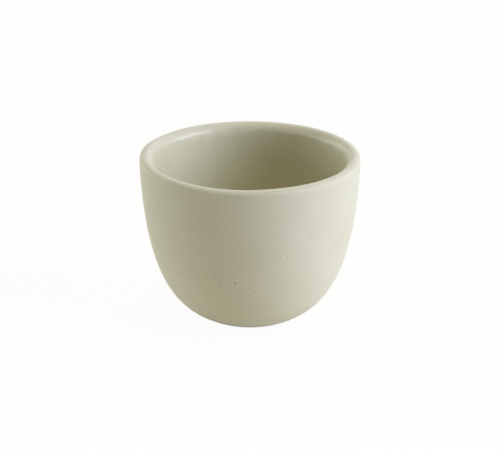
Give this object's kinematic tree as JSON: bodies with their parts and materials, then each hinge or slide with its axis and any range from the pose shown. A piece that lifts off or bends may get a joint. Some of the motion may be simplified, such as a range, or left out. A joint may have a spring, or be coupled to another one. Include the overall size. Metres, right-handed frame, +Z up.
{
  "type": "handleless cup",
  "caption": "Handleless stoneware cup with a rounded bowl tapering to a small foot, a thick soft lip, a matt glaze outside and a satin liner glaze, for drinking tea or coffee.",
  "frame": {"origin": "centre of the foot ring, on the table", "axes": "+Z up along the axis of the bowl, -Y towards the side that the picture shows"},
  "size_m": [0.085, 0.085, 0.0655],
  "materials": {
    "stoneware": "bare fired clay, dry and slightly gritty",
    "matt_glaze": "matt pale grey-green with a few iron specks and pinholes",
    "satin_glaze": "satin pale grey-green, a little warmer where it thins over the lip"
  },
  "bodies": {
    "root": {"stoneware_body": "stoneware", "outside_glaze": "matt_glaze", "liner_glaze": "satin_glaze", "well_glaze": "matt_glaze"}
  },
  "joints": []
}
